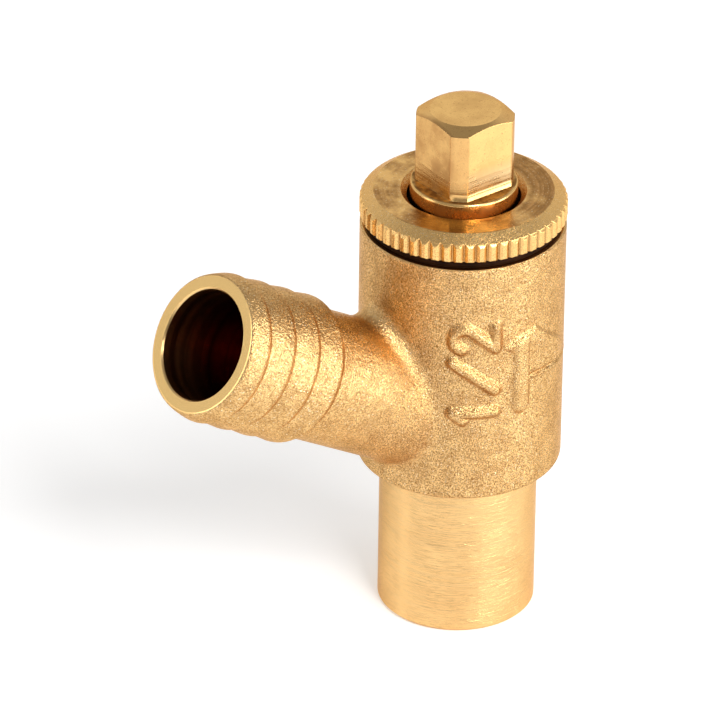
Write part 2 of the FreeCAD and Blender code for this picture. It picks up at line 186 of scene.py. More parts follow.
class DrainCockFinish(bpy.types.PropertyGroup):
    """Colours and grain of the brass and the rubber, and the colours of painted glints and painted shade."""

    cast_colour: FloatVectorProperty(
        name="Cast brass", description="Blasted casting where it is clean",
        subtype="COLOR", size=3, min=0, max=1, default=(0.95, 0.625, 0.27))
    cast_shade: FloatVectorProperty(
        name="Cast brass, shaded", description="Blasted casting in its pits",
        subtype="COLOR", size=3, min=0, max=1, default=(0.29, 0.125, 0.031))
    turned_colour: FloatVectorProperty(
        name="Turned brass", description="Freshly cut brass",
        subtype="COLOR", size=3, min=0, max=1, default=(0.94, 0.59, 0.22))
    # Colour of painted highlights on glinting grains: light painted into the brass, not its own colour.
    painted_glint_colour: FloatVectorProperty(
        name="Glint", description="Brightest grains of the casting",
        subtype="COLOR", size=3, min=0, max=1, default=(1.0, 0.88, 0.64))
    spigot_colour: FloatVectorProperty(
        name="Spigot", description="Turned brass of the plain spigot",
        subtype="COLOR", size=3, min=0, max=1, default=(0.81, 0.535, 0.24))
    rim_colour: FloatVectorProperty(
        name="Rim", description="Cut end of the hose tail",
        subtype="COLOR", size=3, min=0, max=1, default=(1.0, 0.66, 0.26))
    # Tarnish, also laid on the spindle's left flat as painted shade.
    tarnish_and_shade_colour: FloatVectorProperty(
        name="Tarnish", description="Cut brass that has gone brown",
        subtype="COLOR", size=3, min=0, max=1, default=(0.51, 0.27, 0.10))
    # Grime is real dirt on the nut's face and the spindle's ledge, and also painted shade in the knurl's grooves,
    # the nut's mouth and the ledge's corner.
    grime_and_shade_colour: FloatVectorProperty(
        name="Grime", description="Dirt in grooves and in the nut's mouth",
        subtype="COLOR", size=3, min=0, max=1, default=(0.16, 0.07, 0.02))
    # Painted shade: the bore's dark colour stands for the shade inside the tail, not for its brass.
    bore_shade_colour: FloatVectorProperty(
        name="Bore", description="Dull brass inside the hose tail",
        subtype="COLOR", size=3, min=0, max=1, default=(0.36, 0.04, 0.016))
    rubber_colour: FloatVectorProperty(
        name="Rubber", description="Seals and washer",
        subtype="COLOR", size=3, min=0, max=1, default=(0.012, 0.004, 0.0015))
    limb_colour: FloatVectorProperty(
        name="Limb", description="Tint of the brass where it turns out of sight",
        subtype="COLOR", size=3, min=0, max=1, default=(0.87, 0.68, 0.50))
    grain_size: FloatProperty(
        name="Grain", description="Size of a blasted grain",
        unit="LENGTH", min=0, default=0.11 * MM)
    grain_depth: FloatProperty(
        name="Grain depth", description="Depth of the blasted grain",
        unit="LENGTH", min=0, default=0.14 * MM)
    line_pitch: FloatProperty(
        name="Turning pitch", description="Distance between turning lines",
        unit="LENGTH", min=0, default=0.06 * MM)
    line_depth: FloatProperty(
        name="Turning depth", description="Depth of the turning lines",
        unit="LENGTH", min=0, default=0.035 * MM)
    edge_round: FloatProperty(
        name="Edge", description="Width of the worn edges",
        unit="LENGTH", min=0, default=0.09 * MM)


class DrainCockMarks(bpy.types.PropertyGroup):
    """Raised marks cast on the barrel."""

    relief: FloatProperty(
        name="Relief", description="How far the marks stand out",
        unit="LENGTH", min=0, default=0.5 * MM)
    shoulder: FloatProperty(
        name="Shoulder", description="Width of a mark's soft edge",
        unit="LENGTH", min=0, default=0.7 * MM)
    stroke: FloatProperty(
        name="Stroke", description="Width of a numeral's stroke, half way up its relief",
        unit="LENGTH", min=0, default=0.9 * MM)
    numeral_height: FloatProperty(
        name="Numeral height", description="Height of the size number",
        unit="LENGTH", min=0, default=4.05 * MM)
    numeral_pitch: FloatProperty(
        name="Numeral pitch",
        description="Spacing of the size number. Each numeral stands about 3/4 of it from the bar",
        unit="LENGTH", min=0, default=5.2 * MM)
    number_angle: FloatProperty(
        name="Number place", description="Plan angle of the size number's middle",
        subtype="ANGLE", default=math.radians(-118.9))
    number_z: FloatProperty(
        name="Number height", description="Height of the size number's middle",
        unit="LENGTH", default=29.5 * MM)
    head_relief: FloatProperty(
        name="Arrow head relief", description="How far the arrow's head stands out",
        unit="LENGTH", min=0, default=0.3 * MM)
    shaft_width: FloatProperty(
        name="Shaft width", description="Width of the arrow's shaft",
        unit="LENGTH", min=0, default=1.6 * MM)
    arrow_angle: FloatProperty(
        name="Arrow place", description="Plan angle of the flow arrow",
        subtype="ANGLE", default=math.radians(-90.9))
    arrow_foot_z: FloatProperty(
        name="Arrow foot", description="Height of the arrow's foot",
        unit="LENGTH", default=24.95 * MM)
    mesh_step: FloatProperty(
        name="Mesh step", description="Grid step of the relief",
        unit="LENGTH", min=0, default=0.10 * MM)


class DrainCockStage(bpy.types.PropertyGroup):
    """Camera, lamps and floor."""

    azimuth: FloatProperty(
        name="Azimuth", description="Camera's turn about the spindle axis",
        subtype="ANGLE", default=math.radians(-36.6))
    elevation: FloatProperty(
        name="Elevation", description="Camera's height angle",
        subtype="ANGLE", default=math.radians(30.533))
    roll: FloatProperty(
        name="Roll", description="Camera's turn about its own axis",
        subtype="ANGLE", default=math.radians(0.818))
    distance: FloatProperty(
        name="Distance", description="From the camera to its target",
        unit="LENGTH", min=0, default=793.27 * MM)
    target_height: FloatProperty(
        name="Target height", description="Target on the spindle axis",
        unit="LENGTH", default=27.2 * MM)
    target_pixel: FloatVectorProperty(
        name="Target pixel", description="Where the target stands in the picture",
        size=2, default=(460.477, 345.245))
    lens: FloatProperty(
        name="Lens", description="Focal length in millimetres",
        unit="CAMERA", min=1, default=420.27)
    key_power: FloatProperty(
        name="Key", description="Power of the lamp above the camera, in watts",
        unit="POWER", min=0, default=2.0)
    right_power: FloatProperty(
        name="Right", description="Power of the tall lamp on the right, in watts",
        unit="POWER", min=0, default=1.1)
    low_power: FloatProperty(
        name="Low", description="Power of the low lamp on the right, in watts",
        unit="POWER", min=0, default=0.65)
    left_power: FloatProperty(
        name="Left", description="Power of the tall lamp on the left, in watts",
        unit="POWER", min=0, default=0.34)
    floor_glow: FloatProperty(
        name="Floor glow", description="Light that lifts the floor to white",
        min=0, default=0.32)


def finish_settings():
    """Colours and grain set in the scene."""
    return bpy.context.scene.drain_cock_finish


def feed(tree, value, socket):
    """Links an output to an input, or sets the input's value."""
    if isinstance(value, bpy.types.NodeSocket):
        tree.links.new(value, socket)
    else:
        socket.default_value = value


def add(tree, kind, **inputs):
    """A new node, with inputs set or linked by name."""
    node = tree.nodes.new(kind)
    for name, value in inputs.items():
        feed(tree, value, node.inputs[name])
    return node


def calc(tree, operation, *terms, clamp=False):
    """Output of a math node."""
    node = tree.nodes.new("ShaderNodeMath")
    node.operation = operation
    node.use_clamp = clamp
    for term, socket in zip(terms, node.inputs):
        feed(tree, term, socket)
    return node.outputs[0]


def times(tree, first, *others):
    """Product of values."""
    return functools.reduce(lambda a, b: calc(tree, "MULTIPLY", a, b), others, first)


def greatest(tree, first, *others):
    """Greatest of some values."""
    return functools.reduce(lambda a, b: calc(tree, "MAXIMUM", a, b), others, first)


def invert(tree, mask):
    """1 where a mask is 0, and 0 where it is 1."""
    return calc(tree, "SUBTRACT", 1.0, mask)


def vector_calc(tree, operation, *terms, output=0):
    """Output of a vector math node."""
    node = tree.nodes.new("ShaderNodeVectorMath")
    node.operation = operation
    for term, socket in zip(terms, node.inputs):
        feed(tree, term, socket)
    return node.outputs[output]


def ramp(tree, value, start, full, smooth=False):
    """0 up to a start, 1 from where it is full. The start may be the higher of the two."""
    node = tree.nodes.new("ShaderNodeMapRange")
    node.interpolation_type = "SMOOTHSTEP" if smooth else "LINEAR"
    for item, name in ((value, "Value"), (start, "From Min"), (full, "From Max")):
        feed(tree, item, node.inputs[name])
    return node.outputs["Result"]


def reaches(tree, value, level):
    """1 where a value comes up to the level of a face."""
    return ramp(tree, value, level - 3 * HAIR, level - 2 * HAIR)


def mix(tree, kind, share, first, second):
    """Output of a mix node. The kind is Float, Vector or Color."""
    node = tree.nodes.new("ShaderNodeMix")
    node.data_type = {"Float": "FLOAT", "Vector": "VECTOR", "Color": "RGBA"}[kind]
    inputs = {socket.identifier: socket for socket in node.inputs}
    feed(tree, share, inputs["Factor_Float"])
    feed(tree, first, inputs["A_" + kind])
    feed(tree, second, inputs["B_" + kind])
    return next(s for s in node.outputs if s.identifier == "Result_" + kind)


def mix_value(tree, share, first, second):
    """Value between two, by a share."""
    return mix(tree, "Float", share, first, second)


def mix_colour(tree, share, *colours):
    """Colour between two, by a share."""
    ends = [c if isinstance(c, bpy.types.NodeSocket) else (*c, 1) for c in colours]
    return mix(tree, "Color", share, *ends)


def tint(tree, tone, colour, mask, strength=1.0):
    """A tone with a colour laid over it, where a mask is and up to a strength."""
    share = mask if strength == 1.0 else times(tree, mask, strength)
    return mix_colour(tree, share, tone, colour)


def surface_point(tree):
    """Point of the surface in the CAD frame."""
    return tree.nodes.new("ShaderNodeTexCoord").outputs["Object"]


def noise(tree, size, detail=2.0, roughness=0.5, where=None, along=None):
    """Noise with bumps about as large as a size in metres, over a surface or along one value."""
    node = tree.nodes.new("ShaderNodeTexNoise")
    if along is not None:
        node.noise_dimensions = "1D"
        feed(tree, along, node.inputs["W"])
    else:
        feed(tree, where or surface_point(tree), node.inputs["Vector"])
    feed(tree, calc(tree, "DIVIDE", 1.0, size), node.inputs["Scale"])
    node.inputs["Detail"].default_value = detail
    node.inputs["Roughness"].default_value = roughness
    return node.outputs["Fac"]


def shared(store, name):
    """Has a material or node group built once, under its name, and handed out again after that."""
    def decorate(build):
        @functools.wraps(build)
        def get():
            blocks = getattr(bpy.data, store)
            return blocks[name] if name in blocks else build(name)
        return get
    return decorate


def new_group(name, inputs, outputs):
    """Empty shader node group with named sockets. Inputs give a default each."""
    tree = bpy.data.node_groups.new(name, "ShaderNodeTree")
    for label, default in inputs.items():
        kind = "NodeSocketVector" if isinstance(default, tuple) else "NodeSocketFloat"
        socket = tree.interface.new_socket(name=label, in_out="INPUT", socket_type=kind)
        socket.default_value = default
    for label in outputs:
        kind = "NodeSocketVector" if label == "Normal" else "NodeSocketFloat"
        tree.interface.new_socket(name=label, in_out="OUTPUT", socket_type=kind)
    start = tree.nodes.new("NodeGroupInput")
    end = tree.nodes.new("NodeGroupOutput")
    return tree, start.outputs, end.inputs


@shared("node_groups", "Blasted grain")
def blasted_grain(name):
    """Grain that blasting leaves on a casting, and a mask of grains that get painted glints."""
    tree, given, out = new_group(
        name, {"Grain Size": 0.2 * MM}, ("Height", "Fleck", "Glint", "Mottle"))
    size = given["Grain Size"]
    fine = noise(tree, size, 2.0, 0.6)
    coarse = noise(tree, times(tree, size, 4.0), 2.0)
    feed(tree, mix_value(tree, 0.5, fine, coarse), out["Height"])
    flecks = noise(tree, size, 2.0, 0.7, vector_calc(tree, "ADD", surface_point(tree), FLECK_SHIFT))
    feed(tree, ramp(tree, flecks, 0.38, 0.57), out["Fleck"])
    # Glint marks the grains that are painted bright as highlights, and made smoother.
    glints = noise(tree, size, 1.0, 0.5, vector_calc(tree, "ADD", surface_point(tree), GLINT_SHIFT))
    feed(tree, ramp(tree, glints, 0.66, 0.74), out["Glint"])
    mottle = noise(tree, times(tree, size, 14.0), 3.0, 0.55)
    feed(tree, ramp(tree, mottle, 0.35, 0.65), out["Mottle"])
    return tree


@shared("node_groups", "Turning lines")
def turning_lines(name):
    """Fine lines that a cutter leaves along a station, with slower streaks."""
    tree, given, out = new_group(name, {"Station": 0.0, "Pitch": 0.1 * MM}, ("Height", "Streak"))
    pitch = given["Pitch"]
    drift = times(tree, noise(tree, 6 * MM, 1.0), pitch, 2.0)
    station = calc(tree, "ADD", given["Station"], drift)
    feed(tree, noise(tree, pitch, 3.0, 0.6, along=station), out["Height"])
    slow = noise(tree, times(tree, pitch, 7.0), 2.0, along=station)
    feed(tree, ramp(tree, slow, 0.3, 0.7), out["Streak"])
    return tree


@shared("node_groups", "Tail axis")
def tail_axis(name):
    """Where a point stands along the hose tail's axis, and how far from it."""
    tree, given, out = new_group(
        name, {"Foot": tuple(TAIL_FOOT), "Direction": tuple(TAIL_AXIS)}, ("Station", "Radius"))
    from_foot = vector_calc(tree, "SUBTRACT", surface_point(tree), given["Foot"])
    station = vector_calc(tree, "DOT_PRODUCT", from_foot, given["Direction"], output="Value")
    feed(tree, station, out["Station"])
    across = vector_calc(tree, "CROSS_PRODUCT", from_foot, given["Direction"])
    feed(tree, vector_calc(tree, "LENGTH", across, output="Value"), out["Radius"])
    return tree


@shared("node_groups", "Tarnish")
def tarnish(name):
    """Brown patches and small dark specks on cut brass."""
    tree, given, out = new_group(
        name, {"Patch Size": 3 * MM, "Speck Size": 0.3 * MM}, ("Patches", "Specks"))
    patches = noise(tree, given["Patch Size"], 4.0, 0.6)
    feed(tree, ramp(tree, patches, 0.4, 0.66), out["Patches"])
    specks = noise(tree, given["Speck Size"], 2.0, 0.5)
    feed(tree, ramp(tree, specks, 0.62, 0.74), out["Specks"])
    return tree


@shared("node_groups", "Soft edges")
def soft_edges(name):
    """Normal that rounds sharp edges, and a mask that is 1 on them."""
    tree, given, out = new_group(name, {"Width": 0.1 * MM}, ("Normal", "Edge"))
    bevel = add(tree, "ShaderNodeBevel", Radius=given["Width"])
    bevel.samples = 6
    rounded = bevel.outputs["Normal"]
    flat = tree.nodes.new("ShaderNodeNewGeometry").outputs["Normal"]
    agree = vector_calc(tree, "DOT_PRODUCT", rounded, flat, output="Value")
    feed(tree, rounded, out["Normal"])
    feed(tree, ramp(tree, agree, 0.995, 0.93), out["Edge"])
    return tree


def use_group(tree, group, **inputs):
    """Places a group in a material. An underscore in an input's name stands for a space."""
    node = tree.nodes.new("ShaderNodeGroup")
    node.node_tree = group
    for name, value in inputs.items():
        feed(tree, value, node.inputs[name.replace("_", " ")])
    return node.outputs


def spindle_coordinates(tree):
    """X, height, and radius about the spindle axis."""
    x, y, z = add(tree, "ShaderNodeSeparateXYZ", Vector=surface_point(tree)).outputs
    square = calc(tree, "ADD", times(tree, x, x), times(tree, y, y))
    return x, z, calc(tree, "SQRT", square)


def new_material(name, metallic=1.0):
    """Material with a Principled shader. Returns it with its tree and the shader's inputs."""
    material = bpy.data.materials.new(name)
    material.use_nodes = True
    tree = material.node_tree
    shader = tree.nodes["Principled BSDF"].inputs
    shader["Metallic"].default_value = metallic
    if metallic:
        shader["Specular Tint"].default_value = (*finish_settings().limb_colour, 1)
    return material, tree, shader


def bump(tree, height, depth, normal=None):
    """Normal of a relief of a depth in metres."""
    node = add(tree, "ShaderNodeBump", Height=height, Distance=depth)
    if normal is not None:
        feed(tree, normal, node.inputs["Normal"])
    return node.outputs["Normal"]


def cut_places(tree, tail, z, radius):
    """Masks of the casting's cut surfaces: the rim, the bore, its inner part that is painted in shade, and all of
    them.
    """
    station = tail["Station"]
    spigot = ramp(tree, z, BARREL_FOOT_Z - 2 * HAIR, BARREL_FOOT_Z - 3 * HAIR)
    rim = reaches(tree, station, TAIL_LENGTH)
    bore_wall = TAIL_BORE_RADIUS + BORE_MARGIN
    bore = times(tree, ramp(tree, station, TAIL_BORE_START, TAIL_BORE_START + BLEND),
                 ramp(tree, tail["Radius"], bore_wall + HAIR, bore_wall))
    bore_shade_mask = times(tree, bore, ramp(tree, station, BORE_DARK_START, BORE_DARK_FULL))
    top = times(tree, reaches(tree, z, BARREL_TOP_Z),
                ramp(tree, radius, BARREL_RADIUS + 2 * BLEND, BARREL_RADIUS + BLEND))
    return rim, bore, bore_shade_mask, greatest(tree, spigot, rim, bore, top)


@shared("materials", "Cast brass")
def cast_brass(name):
    """Blasted casting with painted glints, with the spigot, the mouth's rim and the bores cut bright, and the bore
    painted in shade inside.
    """
    look = finish_settings()
    material, tree, shader = new_material(name)
    fine = use_group(tree, blasted_grain(), Grain_Size=look.grain_size)
    lumpy = use_group(tree, blasted_grain(), Grain_Size=look.grain_size * RIB_GRAIN)
    tail = use_group(tree, tail_axis())
    _, z, radius = spindle_coordinates(tree)
    lines = use_group(tree, turning_lines(), Station=z, Pitch=look.line_pitch)
    rings = use_group(tree, turning_lines(), Station=tail["Radius"], Pitch=look.line_pitch)
    threads = use_group(
        tree, turning_lines(), Station=tail["Station"], Pitch=look.line_pitch * 3)
    stains = use_group(tree, tarnish(), Patch_Size=4 * MM)
    rim, bore, bore_shade_mask, cut = cut_places(tree, tail, z, radius)

    # Grain, coarser on the ribs, with painted highlights on the glinting grains.
    near_tail = ramp(tree, tail["Radius"], BARREL_GRAIN_RADIUS, RIB_GRAIN_RADIUS)
    ribbed = times(tree, ramp(tree, tail["Station"], RIBS_START, RIBS_FULL), near_tail, 0.8)
    grain = mix_value(
        tree, ribbed, fine["Height"], times(tree, lumpy["Height"], RIB_GRAIN_HEIGHT))
    fleck = mix_value(tree, ribbed, fine["Fleck"], mix_value(tree, lumpy["Fleck"], 0.25, 1.0))
    glint = mix_value(tree, ribbed, fine["Glint"], lumpy["Glint"])
    cast_tone = mix_colour(tree, fleck, look.cast_shade, look.cast_colour)
    cast_tone = tint(tree, cast_tone, look.cast_shade, fine["Mottle"], strength=0.35)
    # Painted highlight: glinting grains are coloured near white, as if they caught a lamp.
    cast_tone = tint(tree, cast_tone, look.painted_glint_colour, glint)
    cast_rough = mix_value(
        tree, glint, mix_value(tree, fleck, *CAST_ROUGHNESS), GLINT_ROUGHNESS)

    # Cut surfaces: spigot, rim and bore. The bore is painted in shade, with painted light towards the mouth.
    bright = tint(tree, look.spigot_colour, look.turned_colour, lines["Streak"], strength=0.3)
    bright = tint(tree, bright, look.tarnish_and_shade_colour, stains["Patches"], strength=0.22)
    bright = tint(tree, bright, look.rim_colour, rim)
    deeper_bore_shade = tuple(c * 0.4 for c in look.bore_shade_colour)
    bore_shade_tone = mix_colour(tree, threads["Streak"], deeper_bore_shade, look.bore_shade_colour)
    # Painted light: the bore's colour turns back to brass towards the mouth.
    painted_light_near_mouth = ramp(tree, tail["Station"], BORE_LIT_START, BORE_LIT_FULL)
    painted_light_near_mouth = times(tree, painted_light_near_mouth, mix_value(tree, threads["Streak"], 0.2, 0.9))
    bore_shade_tone = tint(tree, bore_shade_tone, look.turned_colour, painted_light_near_mouth)
    cut_tone = tint(tree, bright, bore_shade_tone, bore_shade_mask)
    dashes = noise(tree, look.line_pitch, 2.0, 0.6,
                   vector_calc(tree, "MULTIPLY", surface_point(tree), DASH_STRETCH))
    line_height = mix_value(
        tree, rim, times(tree, dashes, 1.25), times(tree, rings["Height"], 0.08))
    line_height = mix_value(tree, bore, line_height, times(tree, threads["Height"], 0.9))

    feed(tree, mix_colour(tree, cut, cast_tone, cut_tone), shader["Base Color"])
    feed(tree, mix_value(tree, cut, cast_rough, CUT_ROUGHNESS), shader["Roughness"])
    edges = use_group(tree, soft_edges(), Width=look.edge_round)
    grainy = bump(tree, grain, look.grain_depth)
    lined = bump(tree, line_height, look.line_depth, edges["Normal"])
    feed(tree, mix(tree, "Vector", cut, grainy, lined), shader["Normal"])
    return material


@shared("materials", "Gland brass")
def gland_brass(name):
    """Turned brass of the gland nut: brown face, rough bevel and bright knurl, with painted glints on the face and
    bevel, and painted shade in the knurl's grooves and the nut's mouth.
    """
    look = finish_settings()
    material, tree, shader = new_material(name)
    x, z, radius = spindle_coordinates(tree)
    stains = use_group(tree, tarnish())
    blots = use_group(tree, tarnish(), Patch_Size=0.8 * MM, Speck_Size=0.16 * MM)
    grain = use_group(tree, blasted_grain(), Grain_Size=look.grain_size)
    rings = use_group(tree, turning_lines(), Station=radius, Pitch=look.line_pitch)
    edges = use_group(tree, soft_edges(), Width=look.edge_round)

    face = reaches(tree, z, FLANGE_TOP_Z)
    knurl_foot = FLANGE_RADIUS - KNURL_DEPTH
    knurl = times(tree, ramp(tree, radius, knurl_foot, knurl_foot + BLEND / 2),
                  ramp(tree, z, BEVEL_FOOT_Z, BEVEL_FOOT_Z - BLEND / 2))
    # Painted shade in the knurl's grooves, darker towards their roots.
    groove_shade = times(tree, knurl, ramp(tree, radius, GROOVE_START, GROOVE_FULL))
    bevel = calc(tree, "SUBTRACT", invert(tree, face), knurl)
    # Painted shade in the nut's mouth, the gap around the spindle.
    mouth = times(tree, ramp(tree, z, MOUTH_TOP_Z, MOUTH_TOP_Z - BLEND),
                  ramp(tree, radius, MOUTH_RADIUS + 2 * BLEND, MOUTH_RADIUS + BLEND))

    browner = times(tree, ramp(tree, x, BROWN_START, BROWN_FULL), 0.75)
    patches = calc(tree, "ADD", stains["Patches"], browner, clamp=True)
    brown = mix_value(tree, face, 0.16, mix_value(tree, patches, 0.14, 0.95))
    blotted = times(tree, face, blots["Patches"], mix_value(tree, patches, 0.1, 0.4))
    pits = times(tree, invert(tree, grain["Fleck"]), knurl)
    tone = tint(tree, look.turned_colour, look.tarnish_and_shade_colour,
                times(tree, brown, invert(tree, knurl)))
    ringed = times(tree, face, rings["Streak"], patches)
    tone = tint(tree, tone, look.grime_and_shade_colour, ringed, strength=0.5)
    tone = tint(tree, tone, look.grime_and_shade_colour, blotted)
    # Painted highlights: bright specks on the face, as if glinting.
    tone = tint(tree, tone, look.painted_glint_colour, times(tree, face, blots["Specks"]), strength=0.6)
    # Painted shade in the knurl's grooves.
    tone = tint(tree, tone, look.grime_and_shade_colour, groove_shade, strength=0.85)
    tone = tint(tree, tone, look.tarnish_and_shade_colour, pits, strength=0.55)
    # Painted shade in the nut's mouth.
    tone = tint(tree, tone, look.grime_and_shade_colour, mouth)
    tone = tint(tree, tone, look.tarnish_and_shade_colour, stains["Specks"], strength=0.6)
    # Painted highlights on the glinting grains of the bevel.
    tone = tint(tree, tone, look.painted_glint_colour, times(tree, grain["Glint"], bevel))
    feed(tree, tint(tree, tone, look.turned_colour, edges["Edge"]), shader["Base Color"])

    rough = mix_value(tree, face, mix_value(tree, grain["Fleck"], *BEVEL_ROUGHNESS),
                      mix_value(tree, patches, *FACE_ROUGHNESS))
    rough = mix_value(tree, edges["Edge"], rough, NUT_EDGE_ROUGHNESS)
    feed(tree, rough, shader["Roughness"])
    relief = mix_value(
        tree, face, times(tree, grain["Height"], 1.3), times(tree, rings["Height"], 0.10))
    relief = mix_value(tree, knurl, relief, times(tree, grain["Height"], 0.5))
    feed(tree, bump(tree, relief, NUT_GRAIN_DEPTH, edges["Normal"]), shader["Normal"])
    return material


@shared("materials", "Spindle brass")
def spindle_brass(name):
    """Turned and milled brass of the spindle, with painted shade on the left flat and a painted highlight low on
    the other flats.
    """
    look = finish_settings()
    material, tree, shader = new_material(name)
    x, z, radius = spindle_coordinates(tree)
    stains = use_group(tree, tarnish(), Patch_Size=2.5 * MM, Speck_Size=0.2 * MM)
    lines = use_group(tree, turning_lines(), Station=z, Pitch=STROKE_PITCH)
    edges = use_group(tree, soft_edges(), Width=look.edge_round)
    normal = tree.nodes.new("ShaderNodeNewGeometry").outputs["Normal"]
    upward = add(tree, "ShaderNodeSeparateXYZ", Vector=normal).outputs["Z"]
    up = calc(tree, "SUBTRACT", z, COLLAR_TOP_Z)

    left_flat = ramp(tree, x, HEAD_LEFT_START, HEAD_LEFT_FULL)
    corner = times(
        tree, ramp(tree, radius, HEAD_CORNER_RADIUS, HEAD_CORNER_RADIUS + BLEND),
        ramp(tree, up, 0.0, CORNER_FULL))
    collar = ramp(tree, up, COLLAR_START, COLLAR_FULL)
    ledge = times(tree, ramp(tree, up, -6 * HAIR, -2 * HAIR), ramp(tree, up, 4 * HAIR, 2 * HAIR))
    cone = times(tree, ramp(tree, upward, 0.2, 0.3), ramp(tree, upward, 0.95, 0.9),
                 ramp(tree, up, CONE_START, CONE_FULL))
    milled = times(tree, ramp(tree, up, STROKES_START, STROKES_FULL),
                   ramp(tree, up, STROKES_END, STROKES_FADE), invert(tree, corner))

    # Painted shade: the left flat gets heavier tarnish patches, as if it were turned away from the light.
    left_flat_shade = times(tree, left_flat, ramp(tree, up, 0.0, LEFT_SHADE_FULL))
    patches = mix_value(tree, left_flat_shade, times(tree, stains["Patches"], 0.3),
                        mix_value(tree, stains["Patches"], 0.45, 0.9))
    worn = calc(tree, "ADD", times(tree, corner, 0.5), collar)
    strokes = times(tree, milled, ramp(tree, lines["Height"], 0.54, 0.62),
                    ramp(tree, noise(tree, STROKE_BREAKS, 3.0, 0.6), 0.36, 0.55))
    dirt = ramp(tree, noise(tree, LEDGE_DIRT, 3.0, 0.6), 0.40, 0.60)
    # Tarnish patches, heavier on the left flat as painted shade.
    tone = tint(tree, look.turned_colour, look.tarnish_and_shade_colour, patches)
    tone = tint(tree, tone, look.tarnish_and_shade_colour, stains["Specks"], strength=0.8)
    tone = tint(tree, tone, look.tarnish_and_shade_colour, worn)
    tone = tint(tree, tone, look.tarnish_and_shade_colour, cone, strength=0.3)
    # Painted highlight: the milled foot of all flats but the left one is paler, as if it caught a lamp.
    right_flat_highlight = times(tree, milled, invert(tree, left_flat))
    tone = tint(tree, tone, look.painted_glint_colour, right_flat_highlight, strength=0.25)
    tone = tint(tree, tone, look.tarnish_and_shade_colour, strokes, strength=0.42)
    # Random dirt on the ledge at the head's foot, with painted shade in that inner corner.
    ledge_dirt_and_shade = times(tree, ledge, mix_value(tree, dirt, 0.3, 0.85))
    tone = tint(tree, tone, look.grime_and_shade_colour, ledge_dirt_and_shade)
    feed(tree, tone, shader["Base Color"])

    rough = mix_value(tree, ledge, mix_value(tree, stains["Patches"], *HEAD_ROUGHNESS),
                      mix_value(tree, dirt, *LEDGE_ROUGHNESS))
    rough = mix_value(tree, edges["Edge"], rough, HEAD_EDGE_ROUGHNESS)
    feed(tree, rough, shader["Roughness"])

    # Lines of the cutter, and the curve where it ran out at the foot of the flats.
    line_height = times(tree, lines["Height"], mix_value(tree, milled, 0.1, 0.75))
    lined = bump(tree, line_height, STROKE_DEPTH, edges["Normal"])
    run_out = calc(tree, "POWER", ramp(tree, up, RUN_OUT_HEIGHT, 0.0), RUN_OUT_CURVE)
    run_out = times(tree, run_out, mix_value(tree, left_flat, 1.0, 0.25),
                    ramp(tree, upward, 0.1, 0.05), ramp(tree, up, HAIR, 2 * HAIR))
    feed(tree, bump(tree, run_out, RUN_OUT_DEPTH, lined), shader["Normal"])
    return material


@shared("materials", "Inner brass")
def inner_brass(name):
    """Turned brass of the pieces inside."""
    look = finish_settings()
    material, tree, shader = new_material(name)
    _, z, radius = spindle_coordinates(tree)
    station = calc(tree, "ADD", z, radius)
    lines = use_group(tree, turning_lines(), Station=station, Pitch=look.line_pitch)
    tone = tint(tree, look.turned_colour, look.tarnish_and_shade_colour, lines["Streak"], strength=0.4)
    feed(tree, tone, shader["Base Color"])
    shader["Roughness"].default_value = INNER_ROUGHNESS
    feed(tree, bump(tree, lines["Height"], look.line_depth), shader["Normal"])
    return material


@shared("materials", "Black rubber")
def rubber(name):
    """Black rubber with a faint moulded grain."""
    look = finish_settings()
    material, tree, shader = new_material(name, metallic=0.0)
    grain = use_group(tree, blasted_grain(), Grain_Size=RUBBER_GRAIN)
    dusty = tuple(c * 2.2 for c in look.rubber_colour)
    tone = mix_colour(tree, grain["Mottle"], look.rubber_colour, dusty)
    feed(tree, tone, shader["Base Color"])
    feed(tree, mix_value(tree, grain["Fleck"], *RUBBER_ROUGHNESS), shader["Roughness"])
    shader["Specular IOR Level"].default_value = RUBBER_SHINE
    feed(tree, bump(tree, grain["Height"], RUBBER_GRAIN_DEPTH), shader["Normal"])
    return material


def dress(node, material):
    """Gives a CAD node its material."""
    for slot in frame["nodes"][node].material_slots:
        slot.link = "OBJECT"
        slot.material = material


def add_object(name, data):
    """New object in the scene."""
    obj = bpy.data.objects.new(name, data)
    bpy.context.scene.collection.objects.link(obj)
    return obj


def arc(centre, radius, start, end, steps=10):
    """Points along an arc, angles in degrees."""
    angles = [math.radians(start + (end - start) * i / steps) for i in range(steps + 1)]
    return [(centre[0] + radius * math.cos(a), centre[1] + radius * math.sin(a)) for a in angles]


def segment_distance(point, start, end):
    """Distance from a point to a straight stroke."""
    run = (end[0] - start[0], end[1] - start[1])
    gap = (point[0] - start[0], point[1] - start[1])
    square = run[0] ** 2 + run[1] ** 2
    share = (gap[0] * run[0] + gap[1] * run[1]) / square if square else 0.0
    share = min(max(share, 0.0), 1.0)
    return math.hypot(gap[0] - share * run[0], gap[1] - share * run[1])


def outline_distance(point, outline):
    """Distance from a point to a closed outline, negative inside it."""
    inside = False
    nearest = math.inf
    for start, end in zip(outline, outline[1:] + outline[:1]):
        nearest = min(nearest, segment_distance(point, start, end))
        if (start[1] > point[1]) != (end[1] > point[1]):
            share = (point[1] - start[1]) / (end[1] - start[1])
            inside ^= point[0] < start[0] + share * (end[0] - start[0])
    return -nearest if inside else nearest


def mark_rise(distance, relief, shoulder):
    """Height of a mark at a distance outside its outline. Beyond its soft edge it sinks."""
    share = min(0.5 - distance / shoulder, 1.0)
    return relief * (share * share * (3 - 2 * share) if share > 0 else MARK_SINK * share)


